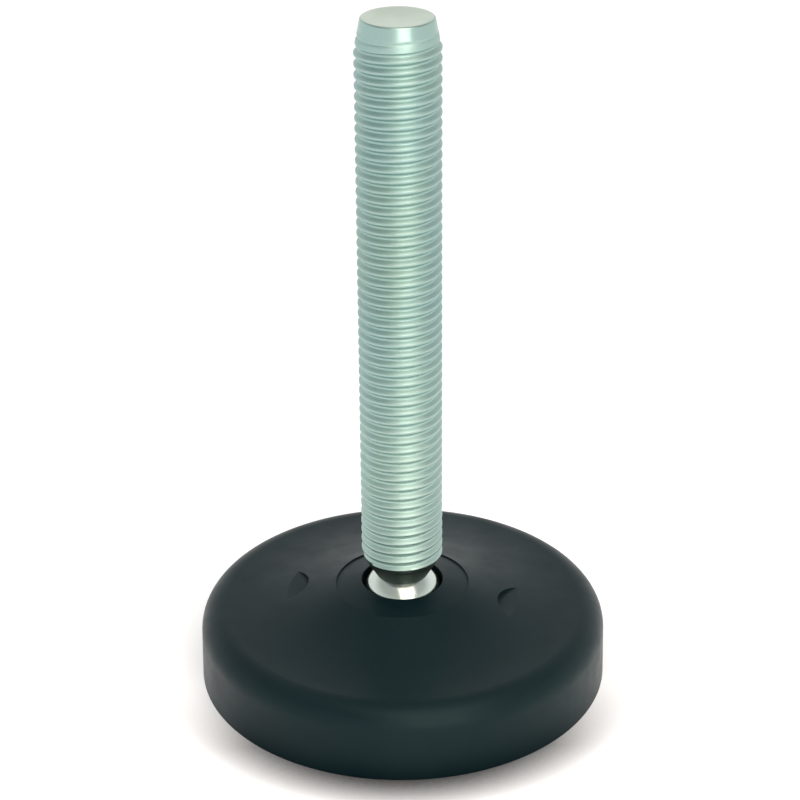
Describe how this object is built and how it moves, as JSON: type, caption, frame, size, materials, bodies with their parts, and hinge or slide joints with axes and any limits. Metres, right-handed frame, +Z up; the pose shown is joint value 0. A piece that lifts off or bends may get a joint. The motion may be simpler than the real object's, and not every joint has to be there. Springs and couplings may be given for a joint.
{
  "type": "swivelling levelling foot",
  "caption": "Swivelling levelling foot: round moulded plastic base with swept top and ball socket, carrying a long zinc-plated threaded ball stud that tilts to suit uneven floors.",
  "frame": {"origin": "centre of the floor face, on the axis of the base", "axes": "+Z up along the upright stud; +X along the tilt axis; the picture looks along +Y from above"},
  "size_m": [0.06, 0.06, 0.1],
  "materials": {
    "base_plastic": "satin black glass-filled nylon",
    "zinc_steel": "greenish-blue zinc plating"
  },
  "bodies": {
    "base": {"base": "base_plastic"},
    "stud": {"stud": "zinc_steel"}
  },
  "joints": [
    {"name": "stud_tilt", "type": "hinge", "parent": "base", "child": "stud", "pos_m": [0, 0, 0.0104], "axis": [1, 0, 0], "range_deg": [-15, 15]}
  ]
}
